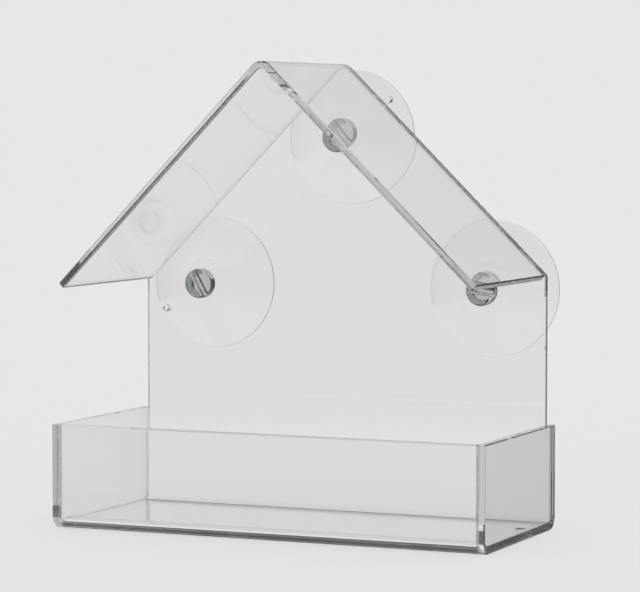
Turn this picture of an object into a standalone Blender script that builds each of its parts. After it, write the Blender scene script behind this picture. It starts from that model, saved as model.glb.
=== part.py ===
"""Window bird feeder: a clear acrylic house with a seed tray, held to the glass by three suction cups.

The house is four pieces of one sheet thickness. The body sheet is a single blank, cut to the outline
of a house and bent twice into back panel, floor and front wall. A side wall is cemented on each end
of it, and a roof bent at the ridge is cemented to the front of the back panel. Three soft moulded
cups are pushed through holes in the back panel by their heads, and turn in them.

Metres, +Z up. The front faces -Y and the window is at +Y. The origin is on the underside of the floor,
midway between the side walls and midway between the tray's front and the back panel's rear.
"""

import math

import bmesh
import bpy
from mathutils import Matrix, Vector

# House, over its outer faces
width = 0.150
height = 0.151
depth = 0.065
tray_height = 0.034

# Roof, whose bend is a shade wider than square and sits a little askew, lower on the left
roof_pitch = math.radians(44.8)
roof_lean = math.radians(0.5)

# Sheet, its bends and its cemented seams
sheet = 0.0025
bend_inner_radius = 0.002
bend_outer_radius = bend_inner_radius + sheet
seam = 0.0003
edge_break = 0.0002

# Body sheet, roof and what they follow
panel_half_width = width / 2 - sheet - seam
panel_rear = depth / 2
panel_front = panel_rear - sheet
ridge_corner_height = height + bend_outer_radius * (math.cos(roof_lean) / math.cos(roof_pitch) - 1)
left_eave_height = ridge_corner_height - panel_half_width * math.tan(roof_pitch + roof_lean)
right_eave_height = ridge_corner_height - panel_half_width * math.tan(roof_pitch - roof_lean)

# Drain hole in the floor, by the right wall
drain_radius = 0.00125
drain_from_side_wall = 0.0040
drain_from_back_panel = 0.0177

# Suction cup, along its axis from the head on the front to the rim on the window
play = 0.0003
neck_radius = 0.0032
head_radius = 0.0050
head_length = 0.0040
head_nose_radius = 0.0009
head_heel_radius = 0.0005
cross_hole_radius = 0.0014
hub_radius = 0.0076
hub_step = 0.0012
cup_radius = 0.0225
cup_reach = 0.0080
rim_thickness = 0.0008
rim_land = 0.0010
bowl_depth = 0.0052
flange_curve = 1.5

# Release pip near the rim of a cup
pip_radius = 0.0012
pip_height = 0.0022
pip_from_rim = 0.0035
pip_dome = 0.0004

# Where the cups stand on the back panel, and which way each pip points, seen from the front
side_cup_from_edge = 0.0212
side_cup_below_eave = 0.002718
top_cup_below_ridge = 0.0242
left_pip_angle = math.radians(209)
right_pip_angle = math.radians(83)
top_pip_angle = math.radians(41)

# Facets
bend_steps = 10
hole_sides = 40
small_hole_sides = 20
cup_sides = 48
flange_steps = 7
bowl_steps = 7
fillet_steps = 3
smooth_angle = math.radians(32)
bevel_angle = math.radians(40)
overrun = 0.004
merge_distance = 0.000001


def clear_scene():
    for obj in list(bpy.data.objects):
        bpy.data.objects.remove(obj, do_unlink=True)


def clear_material(name, color, roughness, refraction):
    """A see-through plastic."""
    material = bpy.data.materials.new(name)
    material.use_nodes = True
    shader = material.node_tree.nodes["Principled BSDF"]
    shader.inputs["Base Color"].default_value = (*color, 1)
    shader.inputs["Roughness"].default_value = roughness
    shader.inputs["Metallic"].default_value = 0
    shader.inputs["IOR"].default_value = refraction
    shader.inputs["Transmission Weight"].default_value = 1
    return material


def add_object(name, bm, material=None):
    """Puts a finished bmesh into the scene, smooth but for its true edges."""
    bmesh.ops.recalc_face_normals(bm, faces=bm.faces)
    mesh = bpy.data.meshes.new(name)
    bm.to_mesh(mesh)
    bm.free()
    mesh.shade_smooth()
    mesh.set_sharp_from_angle(angle=smooth_angle)
    if material:
        mesh.materials.append(material)
    obj = bpy.data.objects.new(name, mesh)
    bpy.context.scene.collection.objects.link(obj)
    return obj


def as_cutter(obj):
    obj.hide_render = True
    obj.display_type = "WIRE"
    return obj


def add_boolean(obj, other, operation):
    modifier = obj.modifiers.new(f"{operation.title()} {other.name}", "BOOLEAN")
    modifier.operation = operation
    modifier.solver = "EXACT"
    modifier.object = other


def add_edge_break(obj):
    """The narrow polished bevel along every cut edge of a sheet."""
    modifier = obj.modifiers.new("Edge break", "BEVEL")
    modifier.width = edge_break
    modifier.segments = 1
    modifier.limit_method = "ANGLE"
    modifier.angle_limit = bevel_angle


def bent_sheet_stations(corners):
    """Pairs of outer and inner points along a sheet that bends at each middle corner of its outer line.

    The line keeps the sheet's inner face on its left, and each bend is an arc about one centre for
    both faces.
    """
    points = [Vector(corner) for corner in corners]
    start = (points[1] - points[0]).normalized()
    stations = [(points[0], points[0] + start.orthogonal() * sheet)]
    for before, corner, after in zip(points, points[1:], points[2:]):
        arriving = (corner - before).normalized()
        leaving = (after - corner).normalized()
        turn = arriving.angle(leaving)
        to_centre = (leaving - arriving).normalized()
        centre = corner + to_centre * bend_outer_radius / math.cos(turn / 2)
        for step in range(bend_steps + 1):
            spoke = Matrix.Rotation(turn * step / bend_steps, 2) @ -arriving.orthogonal()
            stations.append((centre + spoke * bend_outer_radius, centre + spoke * bend_inner_radius))
    end = (points[-1] - points[-2]).normalized()
    stations.append((points[-1], points[-1] + end.orthogonal() * sheet))
    return stations


def sweep(stations, place, low, high):
    """The solid of a bent sheet between two ends. place gives the point of (u, v) at a distance along it."""
    bm = bmesh.new()
    rings = []
    for outer, inner in stations:
        section = [place(outer, low), place(inner, low), place(inner, high), place(outer, high)]
        rings.append([bm.verts.new(point) for point in section])
    for ring, following in zip(rings, rings[1:]):
        for i in range(4):
            j = (i + 1) % 4
            bm.faces.new((ring[i], ring[j], following[j], following[i]))
    bm.faces.new(rings[0])
    bm.faces.new(rings[-1])
    return bm


def prism(outline, place, low, high):
    """The solid between two flat copies of an outline."""
    bm = bmesh.new()
    base = bm.faces.new([bm.verts.new(place(point, low)) for point in outline])
    extruded = bmesh.ops.extrude_face_region(bm, geom=[base])
    moved = [item for item in extruded["geom"] if isinstance(item, bmesh.types.BMVert)]
    shift = place(Vector((0, 0)), high) - place(Vector((0, 0)), low)
    bmesh.ops.translate(bm, verts=moved, vec=shift)
    return bm


def along_x(point, distance):
    return Vector((distance, point[0], point[1]))


def along_y(point, distance):
    return Vector((point[0], distance, point[1]))


def along_z(point, distance):
    return Vector((point[0], point[1], distance))


def circle(centre, radius, sides):
    step = math.tau / sides
    return [
        Vector((centre[0] + radius * math.cos(step * i), centre[1] + radius * math.sin(step * i)))
        for i in range(sides)
    ]


def body_line(rear_height):
    """The corners of the body sheet's outer face, from the front wall's top to this height at the rear."""
    return [(-depth / 2, tray_height), (-depth / 2, 0), (panel_rear, 0), (panel_rear, rear_height)]


def roof_line():
    """The corners of the roof's outer face, from the right eave over the ridge to the left eave."""
    return [
        (panel_half_width, right_eave_height),
        (0, ridge_corner_height),
        (-panel_half_width, left_eave_height),
    ]


def outer_face(corners):
    """The outer line of a bent sheet, with its bends."""
    return [outer for outer, inner in bent_sheet_stations(corners)]


def build_body_sheet(material):
    """Back panel, floor and front wall in one bent sheet, trimmed to the house outline."""
    stations = bent_sheet_stations(body_line(height + overrun))
    strip = sweep(stations, along_x, -panel_half_width, panel_half_width)
    body = add_object("body_sheet", strip, material)

    right_foot = Vector((panel_half_width, -overrun))
    left_foot = Vector((-panel_half_width, -overrun))
    outline = [right_foot, *outer_face(roof_line()), left_foot]
    blank = prism(outline, along_y, -panel_rear - overrun, panel_rear + overrun)
    add_boolean(body, as_cutter(add_object("body_blank", blank)), "INTERSECT")

    for name, x, z, angle in cup_places():
        hole = circle((x, z), neck_radius + play, hole_sides)
        cutter = prism(hole, along_y, panel_front - overrun, panel_rear + overrun)
        add_boolean(body, as_cutter(add_object(f"{name}_hole", cutter)), "DIFFERENCE")

    drain_centre = (width / 2 - sheet - drain_from_side_wall, panel_front - drain_from_back_panel)
    drain = circle(drain_centre, drain_radius, small_hole_sides)
    cutter = prism(drain, along_z, -overrun, sheet + overrun)
    add_boolean(body, as_cutter(add_object("drain_hole", cutter)), "DIFFERENCE")

    add_edge_break(body)


def build_side_walls(material):
    """A flat wall on each end of the tray, its lower corners rounded like the bends beside them."""
    outline = outer_face(body_line(tray_height))
    for name, side in (("side_wall_left", -1), ("side_wall_right", 1)):
        low, high = sorted((side * (width / 2 - sheet), side * width / 2))
        add_edge_break(add_object(name, prism(outline, along_x, low, high), material))


def build_roof(material):
    """Two slopes in one sheet, bent at the ridge, from the tray's front to the back panel."""
    stations = bent_sheet_stations(roof_line())
    roof = add_object("roof", sweep(stations, along_y, -depth / 2, panel_front - seam), material)
    add_edge_break(roof)


def arc(centre, radius, start, end, steps):
    """Points of an arc in the plane of a turned profile, as (radius, distance along the axis)."""
    points = []
    for step in range(steps + 1):
        angle = start + (end - start) * step / steps
        points.append((centre[0] + radius * math.cos(angle), centre[1] + radius * math.sin(angle)))
    return points


def flange_front(radius):
    """Distance along the axis of the flange's front face, at this radius."""
    share = (radius - hub_radius) / (cup_radius - hub_radius)
    start = play + hub_step
    return start + (cup_reach - rim_thickness - start) * share**flange_curve


def cup_profile():
    """Half the cup's section, from the middle of the head's face by the outside to the middle of the bowl.

    Distances along the axis start at the back panel's rear face and grow towards the window.
    """
    heel = -(sheet + play)
    face = heel - head_length
    bowl_radius = cup_radius - rim_land

    points = [(0, face)]
    nose_centre = (head_radius - head_nose_radius, face + head_nose_radius)
    points += arc(nose_centre, head_nose_radius, -math.pi / 2, 0, fillet_steps)
    heel_centre = (head_radius - head_heel_radius, heel - head_heel_radius)
    points += arc(heel_centre, head_heel_radius, 0, math.pi / 2, fillet_steps)
    points += [(neck_radius, heel), (neck_radius, play), (hub_radius, play)]
    for step in range(flange_steps + 1):
        radius = hub_radius + (cup_radius - hub_radius) * step / flange_steps
        points.append((radius, flange_front(radius)))
    points += [(cup_radius, cup_reach), (bowl_radius, cup_reach)]
    for step in range(1, bowl_steps + 1):
        share = 1 - step / bowl_steps
        points.append((bowl_radius * share, cup_reach - bowl_depth * (1 - share**2)))
    return points


def turned(profile, sides):
    """The solid of a profile turned about the Y axis. Its first and last points are on the axis."""
    bm = bmesh.new()
    verts = [bm.verts.new((radius, distance, 0)) for radius, distance in profile]
    edges = [bm.edges.new(pair) for pair in zip(verts, verts[1:])]
    bmesh.ops.spin(
        bm,
        geom=verts + edges,
        cent=(0, 0, 0),
        axis=(0, 1, 0),
        angle=math.tau,
        steps=sides,
        use_merge=True,
    )
    bmesh.ops.remove_doubles(bm, verts=bm.verts, dist=merge_distance)
    return bm


def pip_profile(foot, top):
    """Half the section of the release pip, from the middle of its foot in the flange to its top."""
    shoulder = top + pip_dome
    side = pip_radius - pip_dome
    return [
        (0, top),
        *arc((side, shoulder), pip_dome, -math.pi / 2, 0, fillet_steps),
        (pip_radius, foot),
        (0, foot),
    ]


def build_cup_mesh(material):
    """One moulding: drilled head, neck, hub and dished flange with its pip towards +X."""
    cup = add_object("cup_blank", turned(cup_profile(), cup_sides), material)

    pip_reach = cup_radius - pip_from_rim
    foot = flange_front(pip_reach) + rim_thickness
    top = flange_front(pip_reach) - pip_height
    peg = turned(pip_profile(foot, top), small_hole_sides)
    bmesh.ops.translate(peg, verts=peg.verts, vec=(pip_reach, 0, 0))
    pip = as_cutter(add_object("cup_pip", peg))
    add_boolean(cup, pip, "UNION")

    middle = -(sheet + play + head_length / 2)
    drill = circle((0, middle), cross_hole_radius, small_hole_sides)
    reach = head_radius + overrun
    bar = prism(drill, along_z, -reach, reach)
    bar = as_cutter(add_object("cup_cross_hole", bar))
    add_boolean(cup, bar, "DIFFERENCE")

    graph = bpy.context.evaluated_depsgraph_get()
    mesh = bpy.data.meshes.new_from_object(cup.evaluated_get(graph))
    mesh.name = "suction_cup"
    mesh.shade_smooth()
    mesh.set_sharp_from_angle(angle=smooth_angle)
    for helper in (cup, pip, bar):
        bpy.data.objects.remove(helper, do_unlink=True)
    return mesh


def cup_places():
    """Name, place on the back panel and pip angle of each cup."""
    aside = panel_half_width - side_cup_from_edge
    lower = left_eave_height - side_cup_below_eave
    upper = height - top_cup_below_ridge
    return [
        ("suction_cup_left", -aside, lower, left_pip_angle),
        ("suction_cup_right", aside, lower, right_pip_angle),
        ("suction_cup_top", 0, upper, top_pip_angle),
    ]


def build_cups(material):
    """Three cups, each with its origin on its own axis at the back panel's rear face."""
    mesh = build_cup_mesh(material)
    for name, x, z, angle in cup_places():
        cup = bpy.data.objects.new(name, mesh)
        cup.location = (x, panel_rear, z)
        cup.rotation_euler = (0, -angle, 0)
        bpy.context.scene.collection.objects.link(cup)


def main():
    clear_scene()
    acrylic = clear_material("clear acrylic", (0.96, 0.985, 0.98), 0.02, 1.49)
    soft_pvc = clear_material("clear soft PVC", (0.95, 0.965, 0.97), 0.08, 1.53)
    build_body_sheet(acrylic)
    build_side_walls(acrylic)
    build_roof(acrylic)
    build_cups(soft_pvc)


main()
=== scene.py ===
"""Window bird feeder in clear acrylic sheet: the dressed model, its stage, light and camera."""
import math

import bmesh
import bpy
from mathutils import Matrix, Vector


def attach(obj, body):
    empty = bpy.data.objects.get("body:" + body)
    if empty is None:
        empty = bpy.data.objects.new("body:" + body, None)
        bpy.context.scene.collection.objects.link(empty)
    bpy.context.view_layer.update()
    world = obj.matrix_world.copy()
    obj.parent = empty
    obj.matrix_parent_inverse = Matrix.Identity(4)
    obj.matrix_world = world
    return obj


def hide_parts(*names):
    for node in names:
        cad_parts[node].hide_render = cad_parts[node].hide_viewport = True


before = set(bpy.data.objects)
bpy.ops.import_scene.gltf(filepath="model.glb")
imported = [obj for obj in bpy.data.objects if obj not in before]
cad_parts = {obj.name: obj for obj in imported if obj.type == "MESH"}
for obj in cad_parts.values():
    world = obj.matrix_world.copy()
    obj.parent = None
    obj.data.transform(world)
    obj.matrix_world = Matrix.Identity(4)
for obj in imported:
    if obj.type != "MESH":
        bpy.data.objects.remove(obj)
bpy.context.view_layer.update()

# House, over its outer faces, in metres, with the back panel's rear and front as places along Y
WIDTH, HEIGHT, DEPTH, TRAY = 0.150, 0.151, 0.065, 0.034
PITCH, LEAN = math.radians(44.8), math.radians(0.5)
SHEET, INNER_BEND, SEAM, EDGE_BREAK = 0.0025, 0.0020, 0.0003, 0.0004
OUTER_BEND = SHEET + INNER_BEND
HALF = WIDTH / 2 - SHEET - SEAM
REAR = DEPTH / 2
FRONT = REAR - SHEET
RIDGE = HEIGHT + OUTER_BEND * (math.cos(LEAN) / math.cos(PITCH) - 1)
RIGHT_EAVE = RIDGE - HALF * math.tan(PITCH - LEAN)
LEFT_EAVE = RIDGE - HALF * math.tan(PITCH + LEAN)

# Drain hole's place on the floor and its radius
DRAIN = (0.0685, 0.0123, 0.00125)

# Cement: how far its film stops short of an open edge, stands proud in the corner and laps on the sheets
CEMENT_SHORT, CEMENT_BEAD, CEMENT_LAP = 0.0004, 0.00022, 0.00001

# Suction cup: play in its hole, radii of neck and head, the head's length and the radius of its cross hole
PLAY, NECK, HEAD, HEAD_LENGTH, CROSS_HOLE = 0.0003, 0.0032, 0.0050, 0.0040, 0.0014

# Head: swell of its face, rounding and rise of its nose, rounding of its heel and fillet at the neck
HEAD_DOME, NOSE, NOSE_RISE, HEEL, FILLET = 0.00010, 0.0011, 0.00006, 0.0005, 0.00022

# Hub: radius, height over the panel and half the width of its flank, and how the flange curves from it
HUB, HUB_STEP, HUB_FLANK, FLANGE_CURVE = 0.0076, 0.0012, 0.0016, 1.5

# Flange: radius, reach from panel to window, thickness at the rim, and rounding and fall of the rim
CUP, REACH, RIM, RIM_ROUND, RIM_FALL = 0.0225, 0.0080, 0.0008, 0.0003, 0.0002

# Width of the flat ring on the window, and depth of the bowl
LAND, BOWL = 0.0010, 0.0052

# Release pip: radius, height over the flange, distance in from the rim, and rounding of its top
PIP, PIP_HEIGHT, PIP_FROM_RIM, PIP_DOME = 0.0012, 0.0022, 0.0035, 0.0004

# Side cups' distance from the middle and drop below the left eave, and the top cup's drop below the ridge
SIDE_CUP_OUT, SIDE_CUP_BELOW_EAVE, TOP_CUP_BELOW_RIDGE = 0.051, 0.002718, 0.0242

# Name, place on the back panel and pip angle in degrees of each cup
CUPS = [
    ("left", -SIDE_CUP_OUT, LEFT_EAVE - SIDE_CUP_BELOW_EAVE, 209),
    ("right", SIDE_CUP_OUT, LEFT_EAVE - SIDE_CUP_BELOW_EAVE, 83),
    ("top", 0.0, HEIGHT - TOP_CUP_BELOW_RIDGE, 41),
]

# Steps round a bend, and sides of round things
BEND_STEPS, CUP_SIDES, PIP_SIDES, TABLE_SIDES = 24, 128, 40, 96
BORE_SIDES, SMALL_HOLE_SIDES = 96, 48

# Side of the house on which each wall stands
SIDES = [("left", -1), ("right", 1)]

# How far cutters reach past what they cut, and the gable's blank before and behind the middle of the house
REACH_OVER, BLANK_REACH = 0.004, 0.04

# How near counts as on a plane, for mesh and for shading
NEAR, NEARER = 0.0001, 0.00001

# How far above the tray and below the roof an edge still counts as joined
ABOVE_TRAY, BELOW_ROOF = 0.001, 0.003

# A normal's part along an axis: more than the first is facing it, less than the second is edge-on to it
FACING, EDGE_ON = 0.8, 0.2

# Angles in degrees: sharp enough to be broken, and to part the shading of a sheet and of a cup
BROKEN, SHEET_CREASE, CUP_CREASE = 40, 16, 38

# Plastics: refraction, and tint where light goes in or out; the cup head's grey and the near black where the
# PVC turns away are painted shade
ACRYLIC, PVC = 1.49, 1.53
FACE_TINT, EDGE_TINT, CEMENT_TINT = (0.975, 0.992, 0.968), (0.975, 0.982, 0.975), (0.95, 0.965, 0.95)
HEAD_SHADE, BORE_TINT, TURNED_SHADE = (0.34, 0.36, 0.37), (0.98, 0.98, 0.98), (0.02, 0.022, 0.025)
FLANGE_TINT, MOTTLE_TINT = (0.99, 1.0, 0.985), (0.86, 0.88, 0.86)

# Haze of the roof's right and left slope, where one gives way to the other, and that of the other faces
ROOF_HAZE, HAZE_CHANGE, NO_HAZE = (0.015, 0.09), (0.010, -0.010), (0.0, 0.0)

# Painted shade, as dark lines up the two bends and in from the left slope's outer face: where each begins, is
# full, fades, ends
FRONT_LINE, FRONT_LINE_SHADE = (0.0007, 0.0010, 0.0017, 0.0020), (0.03, 0.03, 0.035)
REAR_LINE, REAR_LINE_SHADE = (0.00002, 0.0001, 0.0006, 0.0009), (0.12, 0.125, 0.13)
SLOPE_LINE, SLOPE_LINE_SHADE = (0.0011, 0.0014, 0.0019, 0.0022), (0.09, 0.095, 0.10)

# Where across the house the left eave's painted dark end and the two slopes' looks come in
DARK_END, LEFT_SLOPE, RIGHT_SLOPE = (-0.0638, -0.0648), (-0.003, -0.006), (0.002, 0.006)

# Painted shade on the right slope's edges, and how frosted the left slope's front edge is
RIGHT_EDGE_SHADE, FROST = (0.30, 0.31, 0.31), 0.35

# Wiping scratches: turn of each set and how dense it is along them, and how dense all are across
STROKES, ACROSS_STROKES = [((0.4, 0.3, 0.7), 33), ((1.3, -0.5, 0.2), 37), ((-0.6, 1.1, 1.9), 41)], 2600

# Soft PVC: pitch of its mould rings, and where along the cup's axis the head's painted shade comes in
RING_PITCH, HEAD_FADE = 0.0005, (-0.0010, -0.0030)

# Table: radius, distances between which it fades, drop below the object, and share of glow to the eye
TABLE, TABLE_FADE, TABLE_DROP, TABLE_GLOW = 0.45, (0.25, 0.43), 0.0002, 0.75
BACKDROP = (0.807, 0.791, 0.815)

# What faces mirror and edges pipe: span of azimuth from behind the panel and of elevation, softness of the
# edges, all in degrees, and colour
DARK_ROOM = (0.05, 0.05, 0.055)
CARDS = [
    ("screen", (-62, 12), (-13, 14), 1.5, (0.58, 0.575, 0.585)),
    ("screen_middle", (-33, -15), (0, 12), 1.5, (0.80, 0.79, 0.81)),
    ("screen_top", (-4, 12), (14, 29), 1.5, (0.60, 0.60, 0.61)),
    ("screen_left_top", (-60, -4), (14, 27), 1.5, (0.70, 0.70, 0.71)),
    ("flag", (17, 24), (-13, -2), 1.5, (0.16, 0.165, 0.18)),
    ("card_right", (27, 90), (-13, 27), 1.5, (0.46, 0.46, 0.47)),
    ("table_rim", (-15, 14), (-30, -13), 1.5, (0.68, 0.68, 0.69)),
    ("table_middle", (-15, 14), (-62, -28), 2.0, (0.80, 0.80, 0.81)),
    ("table_right", (14, 100), (-60, -13), 1.5, (0.34, 0.34, 0.35)),
    ("table_left", (-275, -43), (-95, -14), 1.5, (0.80, 0.80, 0.81)),
    ("ceiling_right", (10, 45), (30, 62), 3.0, (0.75, 0.75, 0.75)),
    ("lamp_gap", (-52, -38), (8, 19), 1.5, DARK_ROOM),
    ("table_gap", (10, 26), (-52, -36), 1.5, DARK_ROOM),
    ("window", (-228, -132), (-20, 20), 1.5, (0.28, 0.28, 0.29)),
]

# Azimuth is counted from here round a whole turn
FIRST_AZIMUTH, WHOLE_TURN = -270.0, 360.0

# How much the backdrop dims through clear sheet, what each layer gives back of that, and for how many layers
VEIL, LAYER_LIFT, LAYERS = 0.085, 0.02, 6.0

# Camera: its place, its turn and rise from the front in degrees, and focal length and sensor in millimetres
EYE, EYE_TURN, EYE_RISE, FOCAL, SENSOR = (0.38132, -0.84635, 0.13329), 23.92, 3.549, 161.78, 36
NEAR_CLIP, FAR_CLIP, BOUNCES = 0.01, 100, 64


# Node tools


class NodeKit:
    """Adds nodes to one tree and wires them."""

    def __init__(self, tree):
        self.tree = tree

    def add(self, kind, **values):
        node = self.tree.nodes.new("ShaderNode" + kind)
        for key, value in values.items():
            setattr(node, key, value)
        return node

    def feed(self, socket, value):
        """Wires another node to a socket, or sets the socket's own value."""
        if isinstance(value, bpy.types.NodeSocket):
            self.tree.links.new(value, socket)
        else:
            socket.default_value = value

    def put(self, node, **values):
        for name, value in values.items():
            self.feed(node.inputs[name.replace("_", " ")], value)
        return node

    def math(self, operation, *values):
        node = self.add("Math", operation=operation)
        for socket, value in zip(node.inputs, values):
            self.feed(socket, value)
        return node.outputs[0]

    def times(self, first, *others):
        for other in others:
            first = self.math("MULTIPLY", first, other)
        return first

    def span(self, value, low, high, to_low=0.0, to_high=1.0):
        """A smooth step from one level to another."""
        node = self.add("MapRange", interpolation_type="SMOOTHSTEP")
        self.put(node, Value=value, From_Min=low, From_Max=high, To_Min=to_low, To_Max=to_high)
        return node.outputs["Result"]

    def band(self, value, low, full, fading, high):
        """One from full to fading, and nothing below low or above high."""
        return self.times(self.span(value, low, full), self.span(value, high, fading))

    def split(self, vector):
        return tuple(self.put(self.add("SeparateXYZ"), Vector=vector).outputs)

    def moved(self, vector, scale, turn=(0, 0, 0)):
        node = self.add("Mapping")
        self.put(node, Vector=vector, Scale=scale, Rotation=turn)
        return node.outputs[0]

    def noise(self, vector, scale, detail=2.0, roughness=0.5):
        node = self.add("TexNoise")
        self.put(node, Vector=vector, Scale=scale, Detail=detail, Roughness=roughness)
        return node.outputs["Fac"]

    def cells(self, vector, scale):
        """Distance to the middle of the nearest cell."""
        node = self.add("TexVoronoi")
        self.put(node, Vector=vector, Scale=scale)
        return node.outputs["Distance"]

    def mix(self, share, first, second):
        """One colour, and this share of another."""
        node = self.add("Mix", data_type="RGBA")
        self.feed(node.inputs[0], share)
        for socket, color in zip(node.inputs[6:8], (first, second)):
            self.feed(socket, color if isinstance(color, bpy.types.NodeSocket) else (*color, 1))
        return node.outputs[2]

    def bump(self, height, distance):
        node = self.add("Bump")
        self.put(node, Height=height, Strength=1.0, Distance=distance)
        return node.outputs[0]

    def blend(self, share, first, second):
        """One shader, and this share of another."""
        node = self.add("MixShader")
        for socket, value in zip(node.inputs, (share, first, second)):
            self.feed(socket, value)
        return node.outputs[0]


def new_material(name, refraction):
    """A see-through plastic, its node tools and its shader."""
    material = bpy.data.materials.new(name)
    material.use_nodes = True
    kit = NodeKit(material.node_tree)
    shader = kit.put(kit.tree.nodes["Principled BSDF"], IOR=refraction, Transmission_Weight=1.0)
    return material, kit, shader


def acrylic_face(name, right_haze, left_haze):
    """Polished face of the sheet: faint waviness, scratches, dust, some haze and dark lines of painted shade
    at the bends.
    """
    material, kit, shader = new_material(name, ACRYLIC)
    spot = kit.add("TexCoord").outputs["Object"]
    x, y, z = kit.split(spot)
    haze = kit.span(x, *HAZE_CHANGE, right_haze, left_haze)
    scratch = 0.0
    for turn, along in STROKES:
        fine = kit.noise(kit.moved(spot, (along, ACROSS_STROKES, ACROSS_STROKES), turn), 1.0, detail=1.0)
        scratch = kit.math("MAXIMUM", scratch, kit.span(fine, 0.70, 0.78))
    patchy = kit.span(kit.noise(spot, 60), 0.50, 0.70)
    speck = kit.span(kit.cells(spot, 420), 0.10, 0.03)
    rare = kit.math("GREATER_THAN", kit.noise(spot, 300, detail=0.0), 0.68)
    rough = kit.math("MULTIPLY_ADD", kit.times(speck, rare), 0.35, haze)
    kit.put(shader, Roughness=kit.math("MULTIPLY_ADD", kit.times(scratch, patchy), 0.10, rough))

    between = kit.math("LESS_THAN", kit.math("ABSOLUTE", x), HALF + SEAM)
    # Painted shade: dark lines up the front and rear bends, mixed into the face's tint
    front = kit.times(kit.math("LESS_THAN", y, OUTER_BEND - REAR), kit.band(z, *FRONT_LINE), between)
    rear = kit.times(kit.math("GREATER_THAN", y, REAR - OUTER_BEND), kit.band(z, *REAR_LINE), between)
    tint_and_shade = kit.mix(front, FACE_TINT, FRONT_LINE_SHADE)
    kit.put(shader, Base_Color=kit.mix(rear, tint_and_shade, REAR_LINE_SHADE))
    wave = kit.noise(spot, 26, detail=1.0)
    kit.put(shader, Normal=kit.bump(wave, distance=0.00003))
    return material


def acrylic_cut():
    """Sawn edge: fine lines across it, frosty down the left slope beside a painted dark line, painted shade
    on the right.
    """
    material, kit, shader = new_material("clear_acrylic_cut_edge", ACRYLIC)
    x, y, z = kit.split(kit.add("TexCoord").outputs["Object"])
    high = kit.math("GREATER_THAN", z, HEIGHT / 2)

    gable = kit.times(kit.math("LESS_THAN", y, NEARER - REAR), high)
    slope = kit.times(gable, kit.span(x, *LEFT_SLOPE))
    fall = PITCH + LEAN
    inward = kit.math("MULTIPLY_ADD", z, -math.cos(fall), RIDGE * math.cos(fall))
    inward = kit.math("MULTIPLY_ADD", x, math.sin(fall), inward)
    # Painted shade: a dark line in from the left slope's outer face, and the dark end of the left eave
    line = kit.times(slope, kit.band(inward, *SLOPE_LINE))
    dark = kit.math("MAXIMUM", line, kit.times(gable, kit.span(x, *DARK_END)))
    tint_and_shade = kit.mix(dark, EDGE_TINT, SLOPE_LINE_SHADE)
    frost = kit.times(slope, kit.math("SUBTRACT", 1.0, dark))
    kit.put(shader, Transmission_Weight=kit.math("MULTIPLY_ADD", frost, -FROST, 1.0))

    # Painted shade on the right slope's edges, behind and at the eave
    right = kit.times(high, kit.span(x, *RIGHT_SLOPE))
    behind = kit.math("GREATER_THAN", y, FRONT)
    at_eave = kit.math("GREATER_THAN", x, HALF - SHEET)
    eave = kit.times(at_eave, kit.math("GREATER_THAN", y, EDGE_BREAK + NEAR - REAR))
    shady = kit.times(right, kit.math("MAXIMUM", behind, eave))
    kit.put(shader, Base_Color=kit.mix(shady, tint_and_shade, RIGHT_EDGE_SHADE))

    across = kit.add("UVMap", uv_map="cut").outputs[0]
    fine = kit.noise(kit.moved(across, (3400, 3400, 1)), 1.0, detail=3.0, roughness=0.6)
    broad = kit.noise(kit.moved(across, (420, 420, 1)), 1.0)
    kit.put(shader, Roughness=kit.span(broad, 0.35, 0.70, 0.02, 0.06))
    both = kit.math("MULTIPLY_ADD", fine, 0.35, broad)
    kit.put(shader, Normal=kit.bump(both, distance=0.000003))
    return material


def soft_pvc(name, head_tint_and_shade):
    """Soft PVC: painted shade, grey on the head and near black where it turns away, with mould rings and a
    tacky film.
    """
    material, kit, shader = new_material(name, PVC)
    spot = kit.add("TexCoord").outputs["Object"]
    x, y, z = kit.split(spot)
    radius = kit.math("SQRT", kit.math("MULTIPLY_ADD", x, x, kit.times(z, z)))
    # Painted shade: grey on the head, and near black where the PVC turns away from the eye
    turned = kit.span(kit.put(kit.add("LayerWeight"), Blend=0.5).outputs["Facing"], 0.45, 0.95)
    tint_and_shade = kit.mix(kit.span(y, *HEAD_FADE), FLANGE_TINT, head_tint_and_shade)
    tint_and_shade = kit.mix(turned, tint_and_shade, TURNED_SHADE)
    mottle = kit.times(kit.noise(spot, 900), 0.06)
    kit.put(shader, Base_Color=kit.mix(mottle, tint_and_shade, MOTTLE_TINT))
    film = kit.noise(spot, 160, detail=3.0, roughness=0.6)
    kit.put(shader, Roughness=kit.span(film, 0.40, 0.75, 0.02, 0.11))
    rings = kit.math("SINE", kit.times(radius, math.tau / RING_PITCH))
    height = kit.math("MULTIPLY_ADD", rings, 0.05, kit.noise(spot, 240))
    kit.put(shader, Normal=kit.bump(height, distance=0.00003))
    return material


def cement():
    """Solvent cement that has set in a seam, with small trapped bubbles."""
    material, kit, shader = new_material("set_cement", ACRYLIC)
    kit.put(shader, Base_Color=(*CEMENT_TINT, 1))
    spot = kit.add("TexCoord").outputs["Object"]
    bubble = kit.span(kit.cells(spot, 1100), 0.28, 0.0)
    some = kit.span(kit.noise(spot, 210, detail=1.0), 0.52, 0.60)
    kit.put(shader, Roughness=kit.span(kit.noise(spot, 500), 0.4, 0.7, 0.01, 0.06))
    height = kit.math("ADD", kit.times(bubble, some), kit.noise(spot, 300, detail=1.0))
    kit.put(shader, Normal=kit.bump(height, distance=0.00002))
    return material


# Mesh tools


def link_object(name, data):
    obj = bpy.data.objects.new(name, data)
    bpy.context.scene.collection.objects.link(obj)
    return obj


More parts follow.
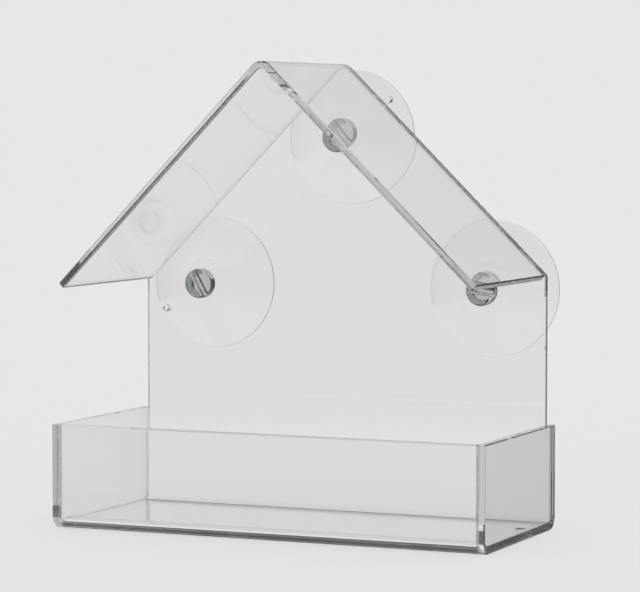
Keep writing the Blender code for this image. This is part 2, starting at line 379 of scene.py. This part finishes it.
def put_object(name, bm):
    """Makes a closed mesh into an object, with its faces outward."""
    bmesh.ops.recalc_face_normals(bm, faces=bm.faces)
    mesh = bpy.data.meshes.new(name)
    bm.to_mesh(mesh)
    bm.free()
    return link_object(name, mesh)


def boolean(obj, other, operation):
    modifier = obj.modifiers.new(operation, "BOOLEAN")
    modifier.operation, modifier.solver, modifier.object = operation, "EXACT", other


def settle(obj, helpers=()):
    """Turns an object's modifiers into mesh and clears their helpers away."""
    graph = bpy.context.evaluated_depsgraph_get()
    mesh = bpy.data.meshes.new_from_object(
        obj.evaluated_get(graph), preserve_all_data_layers=True, depsgraph=graph
    )
    obj.modifiers.clear()
    obj.data = mesh
    for helper in helpers:
        bpy.data.objects.remove(helper, do_unlink=True)


def bend_line(corners, deeper=0.0):
    """Outer and inner points along a bent sheet, whose inner face is on the left of its outer line."""
    points = [Vector(corner) for corner in corners]
    inward = SHEET + deeper
    start = (points[1] - points[0]).normalized()
    line = [(points[0], points[0] + start.orthogonal() * inward)]
    for before, corner, after in zip(points, points[1:], points[2:]):
        arriving, leaving = (corner - before).normalized(), (after - corner).normalized()
        turn = arriving.angle(leaving)
        centre = corner + (leaving - arriving).normalized() * OUTER_BEND / math.cos(turn / 2)
        for step in range(BEND_STEPS + 1):
            spoke = Matrix.Rotation(turn * step / BEND_STEPS, 2) @ -arriving.orthogonal()
            line.append((centre + spoke * OUTER_BEND, centre + spoke * (OUTER_BEND - inward)))
    end = (points[-1] - points[-2]).normalized()
    line.append((points[-1], points[-1] + end.orthogonal() * inward))
    return line


# Each of these puts a point of a flat outline at a distance along one axis


def along_x(point, distance):
    return Vector((distance, point[0], point[1]))


def along_y(point, distance):
    return Vector((point[0], distance, point[1]))


def along_z(point, distance):
    return Vector((point[0], point[1], distance))


def sweep(line, place, low, high):
    """A sheet along a line of outer and inner points."""
    bm = bmesh.new()
    rings = []
    for outer, inner in line:
        section = [place(outer, low), place(inner, low), place(inner, high), place(outer, high)]
        rings.append([bm.verts.new(point) for point in section])
    for ring, after in zip(rings, rings[1:]):
        for i in range(4):
            j = (i + 1) % 4
            bm.faces.new((ring[i], ring[j], after[j], after[i]))
    bm.faces.new(rings[0])
    bm.faces.new(rings[-1])
    return bm


def prism(outline, place, low, high):
    """A solid with the same outline all the way along."""
    bm = bmesh.new()
    base = [bm.verts.new(place(point, low)) for point in outline]
    top = [bm.verts.new(place(point, high)) for point in outline]
    bm.faces.new(base)
    bm.faces.new(reversed(top))
    for i in range(len(base)):
        j = (i + 1) % len(base)
        bm.faces.new((base[i], base[j], top[j], top[i]))
    return bm


def circle(x, z, radius, sides):
    turns = [math.tau * i / sides for i in range(sides)]
    return [Vector((x + radius * math.cos(turn), z + radius * math.sin(turn))) for turn in turns]


def body_line(rear_height, front_height=TRAY):
    """Corners of the body's outer face, seen from its end: front wall, floor and back panel."""
    return [(-REAR, front_height), (-REAR, 0), (REAR, 0), (REAR, rear_height)]


def roof_line(short=0.0):
    """Right eave, ridge and left eave of the roof's outer face, the eaves cut short by this much across."""
    share = 1 - short / HALF
    right, left = RIDGE + (RIGHT_EAVE - RIDGE) * share, RIDGE + (LEFT_EAVE - RIDGE) * share
    return [(HALF * share, right), (0, RIDGE), (-HALF * share, left)]


def break_edges(obj, joined):
    """Scrapes the sharp edges off, but for those that are joined to another sheet."""
    bm = bmesh.new()
    bm.from_mesh(obj.data)
    weight = bm.edges.layers.float.new("bevel_weight_edge")
    for edge in bm.edges:
        sharp = edge.is_manifold and edge.calc_face_angle() > math.radians(BROKEN)
        middle = (edge.verts[0].co + edge.verts[1].co) / 2
        edge[weight] = 1.0 if sharp and not joined(middle) else 0.0
    bm.to_mesh(obj.data)
    bm.free()
    bevel = obj.modifiers.new("Break", "BEVEL")
    bevel.width, bevel.limit_method = EDGE_BREAK, "WEIGHT"
    settle(obj)


def level_shading(obj):
    """Keeps flats truly flat beside the bends, and every broken edge crisp."""
    obj.data.shade_smooth()
    obj.data.set_sharp_from_angle(angle=math.radians(SHEET_CREASE))
    obj.modifiers.new("Shade", "WEIGHTED_NORMAL").keep_sharp = True
    settle(obj)


def finish_sheet(obj, polished, joined, chart, face, cut, helpers=()):
    """Settles a sheet, and gives its polished faces and its cut edges their materials."""
    settle(obj, helpers)
    break_edges(obj, joined)
    level_shading(obj)
    mesh = obj.data
    mesh.materials.clear()
    mesh.materials.append(face)
    mesh.materials.append(cut)
    for polygon in mesh.polygons:
        polygon.material_index = 0 if polished(polygon.center, polygon.normal) else 1
    layer = mesh.uv_layers.new(name="cut")
    for loop in mesh.loops:
        layer.data[loop.index].uv = chart(mesh.vertices[loop.vertex_index].co)


# Sheets


def body_cutters():
    """The gable's blank, the holes for the cups and the drain hole, each with what it does to the sheet."""
    gable = [
        Vector((HALF, -REACH_OVER)),
        *[outer for outer, inner in bend_line(roof_line())],
        Vector((-HALF, -REACH_OVER)),
    ]
    blank = prism(gable, along_y, -BLANK_REACH, BLANK_REACH)
    cutters = [(put_object("blank", blank), "INTERSECT")]
    for name, x, z, pip in CUPS:
        bore = prism(circle(x, z, NECK + PLAY, BORE_SIDES), along_y, FRONT - REACH_OVER, REAR + REACH_OVER)
        cutters.append((put_object("bore", bore), "DIFFERENCE"))
    drain = prism(circle(*DRAIN, SMALL_HOLE_SIDES), along_z, -REACH_OVER, SHEET + REACH_OVER)
    cutters.append((put_object("drain", drain), "DIFFERENCE"))
    return cutters


def build_body(face, cut):
    """Back panel, floor and front wall in one bent sheet."""
    sheet = sweep(bend_line(body_line(HEIGHT + REACH_OVER)), along_x, -HALF, HALF)
    body = put_object("clear_body_sheet", sheet)
    cutters = body_cutters()
    for cutter, operation in cutters:
        boolean(body, cutter, operation)

    def polished(centre, normal):
        if abs(normal.x) > EDGE_ON:
            return False
        if centre.z < OUTER_BEND + NEAR:
            return not (abs(normal.z) < EDGE_ON and abs(centre.y) < REAR - OUTER_BEND)
        return abs(normal.y) > FACING

    def joined(point):
        to_a_wall = abs(point.x) > HALF - NEAR and point.z < TRAY + ABOVE_TRAY
        to_the_roof = abs(point.x) + point.z > RIDGE - BELOW_ROOF and point.y < FRONT + NEAR
        return to_a_wall or to_the_roof

    def chart(point):
        return (point.x, point.z)

    finish_sheet(body, polished, joined, chart, face, cut, [cutter for cutter, operation in cutters])
    return body


def build_side(name, side, face, cut):
    """A side wall, on the side where x has this sign."""
    outline = [outer for outer, inner in bend_line(body_line(TRAY))]
    low, high = sorted((side * (WIDTH / 2 - SHEET), side * WIDTH / 2))
    wall = put_object(name, prism(outline, along_x, low, high))

    def polished(centre, normal):
        return abs(normal.x) > FACING

    def joined(point):
        return abs(point.x) < WIDTH / 2 - NEAR

    def chart(point):
        return (point.y, point.z)

    finish_sheet(wall, polished, joined, chart, face, cut)
    return wall


def build_roof(face, cut):
    """Both slopes in one sheet, bent at the ridge."""
    roof = put_object("clear_roof", sweep(bend_line(roof_line()), along_y, -REAR, FRONT - SEAM))

    def polished(centre, normal):
        at_eave = abs(centre.x) > HALF - SHEET and normal.z < 0 and normal.x * centre.x > 0
        return abs(normal.y) < EDGE_ON and not at_eave

    def joined(point):
        return point.y > FRONT - SEAM - NEAR

    def chart(point):
        return (point.y, (abs(point.x) - point.z) * math.sqrt(0.5))

    finish_sheet(roof, polished, joined, chart, face, cut)
    return roof


def build_cement(name, line, place, low, high, material):
    """A film of cement in a seam along a line, which laps on both sheets; a line cut deeper gives it a small
    bead along its inner corner.
    """
    film = put_object(name, sweep(line, place, low - CEMENT_LAP, high + CEMENT_LAP))
    level_shading(film)
    film.data.materials.append(material)
    return film


# Suction cups


def arc(centre, radius, start, end, steps):
    """Points from one angle to another, in degrees."""
    points = []
    for step in range(steps + 1):
        angle = math.radians(start + (end - start) * step / steps)
        points.append((centre[0] + radius * math.cos(angle), centre[1] + radius * math.sin(angle)))
    return points


def flange_front(radius):
    """Distance of the flange's front from the panel's rear, which grows towards the rim."""
    share = (radius - HUB) / (CUP - HUB)
    start = PLAY + HUB_STEP
    return start + (REACH - RIM - start) * share**FLANGE_CURVE


def cup_section():
    """Half the section, from the head's face to the bowl: radius and distance behind the panel's rear."""
    heel = -(SHEET + PLAY)
    tip = heel - HEAD_LENGTH
    points = [(0, tip)]
    for step in range(1, 8):
        radius = (HEAD - NOSE) * step / 8
        points.append((radius, tip + HEAD_DOME * (radius / HEAD) ** 2))
    points += arc((HEAD - NOSE, tip + NOSE + NOSE_RISE), NOSE, -90, 0, 10)
    points += arc((HEAD - HEEL, heel - HEEL), HEEL, 0, 90, 6)
    points += arc((NECK + FILLET, heel + FILLET), FILLET, -90, -180, 5)
    points += arc((NECK + FILLET, PLAY - FILLET), FILLET, 180, 90, 5)
    crest, foot = HUB - HUB_FLANK, HUB + HUB_FLANK
    for step in range(17):
        share = step / 16
        rise = share * share * (3 - 2 * share)
        radius = crest + (foot - crest) * share
        points.append((radius, PLAY + (flange_front(foot) - PLAY) * rise))
    rim, inner_rim = CUP - RIM_ROUND, CUP - LAND + RIM_ROUND
    for step in range(1, 29):
        radius = foot + (rim - foot) * step / 28
        points.append((radius, flange_front(radius)))
    points += arc((rim, flange_front(CUP) + RIM_FALL), RIM_ROUND, -60, 0, 4)
    points += arc((rim, REACH - RIM_ROUND), RIM_ROUND, 0, 90, 5)
    points += arc((inner_rim, REACH - RIM_ROUND), RIM_ROUND, 90, 150, 4)
    for step in range(1, 32):
        share = 1 - step / 31
        points.append(((CUP - LAND) * share, REACH - BOWL * (1 - share**2)))
    return points


def lathe(section, sides):
    """Turns half a section about the Y axis."""
    bm = bmesh.new()
    first, last = bm.verts.new((0, section[0][1], 0)), bm.verts.new((0, section[-1][1], 0))
    rings = []
    for radius, distance in section[1:-1]:
        ring = []
        for i in range(sides):
            angle = math.tau * i / sides
            ring.append(bm.verts.new((radius * math.cos(angle), distance, radius * math.sin(angle))))
        rings.append(ring)
    for i in range(sides):
        j = (i + 1) % sides
        bm.faces.new((first, rings[0][i], rings[0][j]))
        bm.faces.new((last, rings[-1][j], rings[-1][i]))
        for ring, after in zip(rings, rings[1:]):
            bm.faces.new((ring[i], after[i], after[j], ring[j]))
    return bm


def build_pip():
    """The release pip near the rim, towards +X."""
    reach = CUP - PIP_FROM_RIM
    foot, top = flange_front(reach) + RIM, flange_front(reach) - PIP_HEIGHT
    dome = arc((PIP - PIP_DOME, top + PIP_DOME), PIP_DOME, -90, 0, 8)
    pip = lathe([(0, top), *dome, (PIP, foot), (0, foot)], PIP_SIDES)
    bmesh.ops.translate(pip, verts=pip.verts, vec=(reach, 0, 0))
    return put_object("pip", pip)


def build_cup_mesh(material, bore_material):
    """One moulding: drilled head, neck, hub and dished flange, with its release pip."""
    cup, pip = put_object("cup", lathe(cup_section(), CUP_SIDES)), build_pip()
    middle = -(SHEET + PLAY + HEAD_LENGTH / 2)
    bore = circle(0, middle, CROSS_HOLE, SMALL_HOLE_SIDES)
    bar = put_object("bar", prism(bore, along_z, -HEAD - REACH_OVER, HEAD + REACH_OVER))
    boolean(cup, pip, "UNION")
    boolean(cup, bar, "DIFFERENCE")
    settle(cup, [pip, bar])
    mesh = cup.data
    bpy.data.objects.remove(cup, do_unlink=True)
    mesh.name = "moulded_cup"
    mesh.shade_smooth()
    mesh.set_sharp_from_angle(angle=math.radians(CUP_CREASE))
    mesh.materials.clear()
    mesh.materials.append(material)
    mesh.materials.append(bore_material)
    for polygon in mesh.polygons:
        from_axis = math.hypot(polygon.center.x, polygon.center.y - middle)
        polygon.material_index = 1 if from_axis < CROSS_HOLE + NEAR / 2 else 0
    return mesh


# Feeder


def dress(piece, body, slot, *nodes):
    """Puts a piece on its body and in place of its node."""
    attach(piece, body)
    if nodes:
        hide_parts(*nodes)


def build_sheets(face, roof_face, cut):
    dress(build_body(face, cut), "house", "clear_acrylic", "body_sheet")
    for name, side in SIDES:
        wall = build_side(f"clear_side_wall_{name}", side, face, cut)
        dress(wall, "house", "clear_acrylic", f"side_wall_{name}")
    dress(build_roof(roof_face, cut), "house", "clear_acrylic", "roof")


def build_seams(glue):
    top = TRAY - CEMENT_SHORT
    for name, side in SIDES:
        low, high = sorted((side * HALF, side * (HALF + SEAM)))
        line = bend_line(body_line(top, top), CEMENT_BEAD)
        seam = build_cement(f"cement_{name}", line, along_x, low, high, glue)
        dress(seam, "house", "clear_acrylic")
    line = bend_line(roof_line(CEMENT_SHORT))
    seam = build_cement("cement_roof", line, along_y, FRONT - SEAM, FRONT, glue)
    dress(seam, "house", "clear_acrylic")


def build_cups(pvc, bore_pvc):
    mesh = build_cup_mesh(pvc, bore_pvc)
    for name, x, z, pip_angle in CUPS:
        turned = mesh.copy()
        turned.transform(Matrix.Rotation(-math.radians(pip_angle), 4, "Y"))
        cup = link_object(f"moulded_cup_{name}", turned)
        cup.location = (x, REAR, z)
        cup.visible_glossy = False
        dress(cup, f"{name}_cup", "clear_soft_pvc", f"suction_cup_{name}")


def build_feeder():
    face, cut = acrylic_face("clear_acrylic_face", *NO_HAZE), acrylic_cut()
    pvc, glue = soft_pvc("clear_soft_pvc", HEAD_SHADE), cement()
    roof_face = acrylic_face("clear_acrylic_roof_face", *ROOF_HAZE)
    bore_pvc = soft_pvc("clear_soft_pvc_bore", BORE_TINT)
    build_sheets(face, roof_face, cut)
    build_seams(glue)
    build_cups(pvc, bore_pvc)


# Stage, light and camera


def build_floor():
    """A pale table that fades into the backdrop, and keeps a light shadow."""
    mesh = bpy.data.meshes.new("table")
    rim = [along_z(point, 0) for point in circle(0, 0, TABLE, TABLE_SIDES)]
    mesh.from_pydata(rim, [], [tuple(range(TABLE_SIDES))])
    table = link_object("table", mesh)
    table.location.z = -TABLE_DROP
    material = bpy.data.materials.new("table")
    material.use_nodes = True
    mesh.materials.append(material)
    kit = NodeKit(material.node_tree)
    path, place = kit.add("LightPath").outputs, kit.add("NewGeometry").outputs

    plain = kit.tree.nodes["Principled BSDF"]
    kit.put(plain, Base_Color=(*BACKDROP, 1), Roughness=1.0, Specular_IOR_Level=0.0)
    glow = kit.put(kit.add("Emission"), Color=(*BACKDROP, 1), Strength=1.0)
    direct = kit.math("MAXIMUM", path["Is Camera Ray"], path["Is Transmission Ray"])
    shade = kit.blend(kit.times(direct, TABLE_GLOW), plain.outputs[0], glow.outputs[0])

    x, y, z = kit.split(place["Position"])
    away = kit.math("SQRT", kit.math("MULTIPLY_ADD", x, x, kit.times(y, y)))
    open_share = kit.math("MAXIMUM", kit.span(away, *TABLE_FADE), place["Backfacing"])
    open_share = kit.math("MAXIMUM", open_share, kit.math("GREATER_THAN", path["Glossy Depth"], 0.5))
    surface = kit.blend(open_share, shade, kit.add("BsdfTransparent").outputs[0])
    kit.put(kit.tree.nodes["Material Output"], Surface=surface)


def studio_tone(kit):
    """Colour of the cards, laid over the dark room one after another."""
    x, y, z = kit.split(kit.add("TexCoord").outputs["Generated"])
    degree = 180 / math.pi
    around = kit.math("MULTIPLY_ADD", kit.math("ARCTAN2", x, y), degree, -FIRST_AZIMUTH)
    around = kit.math("ADD", kit.math("FLOORED_MODULO", around, WHOLE_TURN), FIRST_AZIMUTH)
    above = kit.times(kit.math("ARCSINE", z), degree)
    tone = DARK_ROOM
    for name, (left, right), (low, high), soft, color in CARDS:
        across = kit.band(around, left - soft, left + soft, right - soft, right + soft)
        upright = kit.band(above, low - soft, low + soft, high - soft, high + soft)
        tone = kit.mix(kit.times(across, upright), tone, color)
    return tone


def build_world():
    """White light from all round; a pale backdrop to look at, and a studio of cards in reflections."""
    world = bpy.data.worlds.new("studio")
    bpy.context.scene.world = world
    world.use_nodes = True
    kit = NodeKit(world.node_tree)
    path = kit.add("LightPath").outputs
    first = kit.math("LESS_THAN", path["Diffuse Depth"], 0.5)
    mirrored = kit.math("GREATER_THAN", path["Glossy Depth"], 0.5)
    through = kit.times(path["Is Transmission Ray"], kit.math("SUBTRACT", 1.0, mirrored))
    seen = kit.times(first, kit.math("MAXIMUM", path["Is Camera Ray"], through))

    # Each further layer of sheet passes on some of what the layers mirror to each other
    layers = kit.math("MINIMUM", path["Transmission Depth"], LAYERS)
    veil = kit.times(through, kit.math("MULTIPLY_ADD", layers, -LAYER_LIFT, VEIL))

    light = kit.put(kit.tree.nodes["Background"], Color=(1, 1, 1, 1), Strength=1.0)
    studio = kit.put(kit.add("Background"), Color=studio_tone(kit), Strength=1.0)
    clear_strength = kit.math("SUBTRACT", 1.0, veil)
    backdrop = kit.put(kit.add("Background"), Color=(*BACKDROP, 1), Strength=clear_strength)
    unseen = kit.blend(kit.times(first, mirrored), light.outputs[0], studio.outputs[0])
    surface = kit.blend(seen, unseen, backdrop.outputs[0])
    kit.put(kit.tree.nodes["World Output"], Surface=surface)


def build_camera():
    lens = bpy.data.cameras.new("camera")
    lens.lens, lens.sensor_width = FOCAL, SENSOR
    lens.clip_start, lens.clip_end = NEAR_CLIP, FAR_CLIP
    camera = link_object("camera", lens)
    turn, rise = math.radians(EYE_TURN), math.radians(EYE_RISE)
    back = Vector((math.sin(turn) * math.cos(rise), -math.cos(turn) * math.cos(rise), math.sin(rise)))
    camera.location = EYE
    camera.rotation_mode = "QUATERNION"
    camera.rotation_quaternion = (-back).to_track_quat("-Z", "Y")
    scene = bpy.context.scene
    scene.camera = camera
    scene.view_settings.view_transform = "Standard"
    scene.cycles.max_bounces = BOUNCES
    scene.cycles.glossy_bounces = BOUNCES
    scene.cycles.transmission_bounces = BOUNCES


build_feeder()
build_floor()
build_world()
build_camera()
